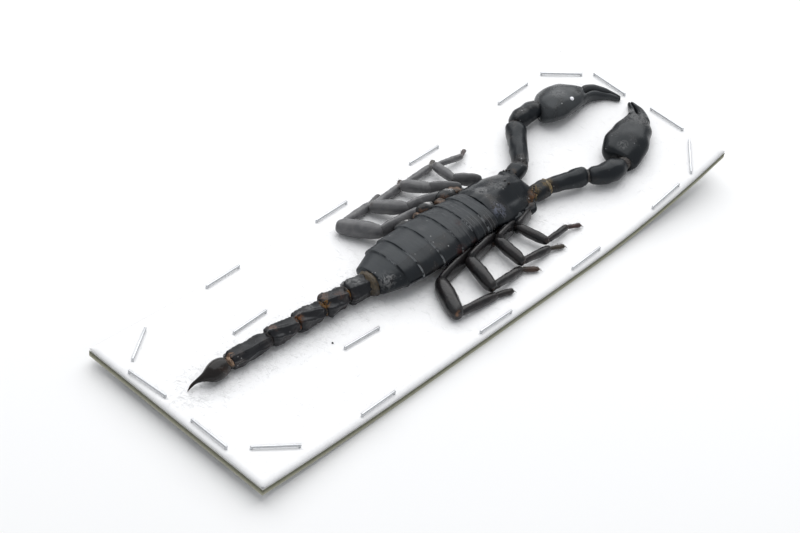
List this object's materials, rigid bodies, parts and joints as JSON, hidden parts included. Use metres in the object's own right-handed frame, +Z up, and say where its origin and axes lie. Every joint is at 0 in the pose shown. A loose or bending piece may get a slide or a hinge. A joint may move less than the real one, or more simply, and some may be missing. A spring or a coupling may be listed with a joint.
{
  "type": "dried scorpion specimen",
  "caption": "Dried black forest scorpion laid flat on a bowed white card over a thin cotton pad, tail straight out, claws held forward, staples set round it",
  "frame": {"origin": "under the middle of the card, on the surface that the card rests on", "axes": "+Y along the card to the scorpion's head, +X to the scorpion's right, +Z up"},
  "size_m": [0.05, 0.15, 0.0117],
  "materials": {
    "card": "matte white card with a grey-green underside",
    "cotton": "fluffy white cotton pressed flat",
    "staple_steel": "dull bright steel wire",
    "body_cuticle": "glossy blue-black cuticle, dusty in places",
    "leg_cuticle": "glossy black cuticle",
    "sting_cuticle": "glossy brown-black cuticle"
  },
  "bodies": {
    "root": {"backing_card": "card", "cotton_pad": "cotton", "staple_01": "staple_steel", "staple_02": "staple_steel", "staple_03": "staple_steel", "staple_04": "staple_steel", "staple_05": "staple_steel", "staple_06": "staple_steel", "staple_07": "staple_steel", "staple_08": "staple_steel", "staple_09": "staple_steel", "staple_10": "staple_steel", "staple_11": "staple_steel", "staple_12": "staple_steel", "staple_13": "staple_steel", "staple_14": "staple_steel", "staple_15": "staple_steel", "staple_16": "staple_steel", "staple_17": "staple_steel", "staple_18": "staple_steel", "abdomen": "body_cuticle", "carapace": "body_cuticle", "chelicera_left": "body_cuticle", "chelicera_right": "body_cuticle", "tail_segment_1": "body_cuticle", "tail_segment_2": "body_cuticle", "tail_segment_3": "body_cuticle", "tail_segment_4": "body_cuticle", "tail_segment_5": "body_cuticle", "stinger": "sting_cuticle", "leg_left_1": "leg_cuticle", "leg_left_2": "leg_cuticle", "leg_left_3": "leg_cuticle", "leg_left_4": "leg_cuticle", "arm_left": "body_cuticle", "forearm_left": "body_cuticle", "hand_left": "body_cuticle", "finger_left": "body_cuticle", "leg_right_1": "leg_cuticle", "leg_right_2": "leg_cuticle", "leg_right_3": "leg_cuticle", "leg_right_4": "leg_cuticle", "arm_right": "body_cuticle", "forearm_right": "body_cuticle", "hand_right": "body_cuticle", "finger_right": "body_cuticle"}
  },
  "joints": []
}
